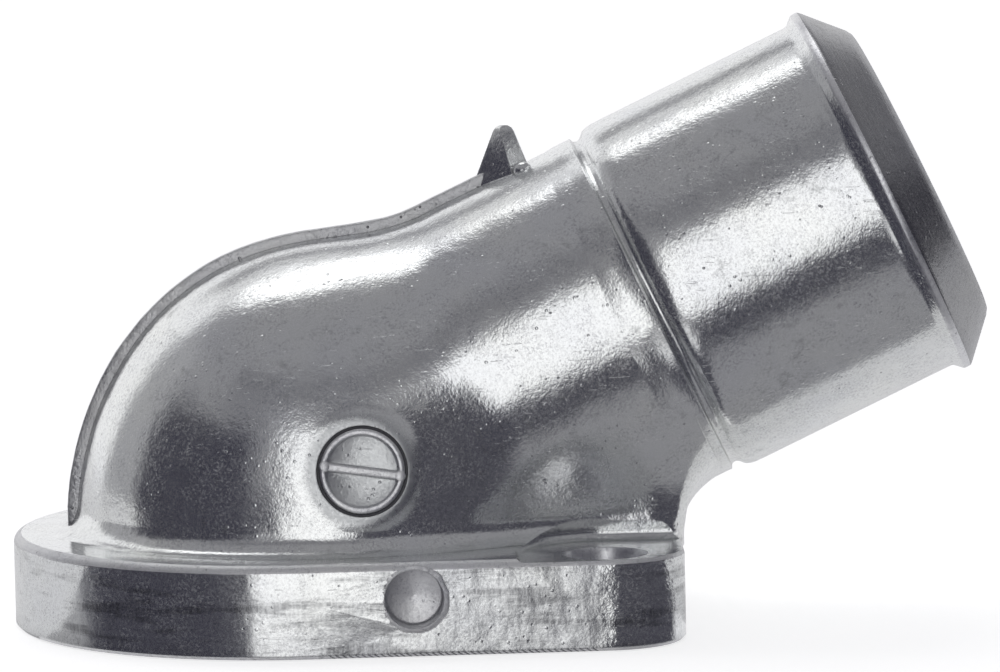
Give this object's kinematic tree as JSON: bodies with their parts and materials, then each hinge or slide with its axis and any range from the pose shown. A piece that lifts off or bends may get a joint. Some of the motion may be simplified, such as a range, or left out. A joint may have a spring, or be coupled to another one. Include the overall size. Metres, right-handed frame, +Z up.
{
  "type": "coolant flange",
  "caption": "Die-cast coolant elbow: a domed chamber on a thick bolt-down gasket flange with a slanted, beaded hose spigot.",
  "frame": {"origin": "centre of the round opening, on the machined gasket face", "axes": "+X from the opening towards the hose spigot, +Z up away from the gasket face, -Y the front with the round mark"},
  "size_m": [0.1039, 0.06, 0.0632],
  "materials": {
    "cast_metal": "bare die-cast, semi-bright with fine scratches"
  },
  "bodies": {
    "root": {"flange_casting": "cast_metal"}
  },
  "joints": []
}
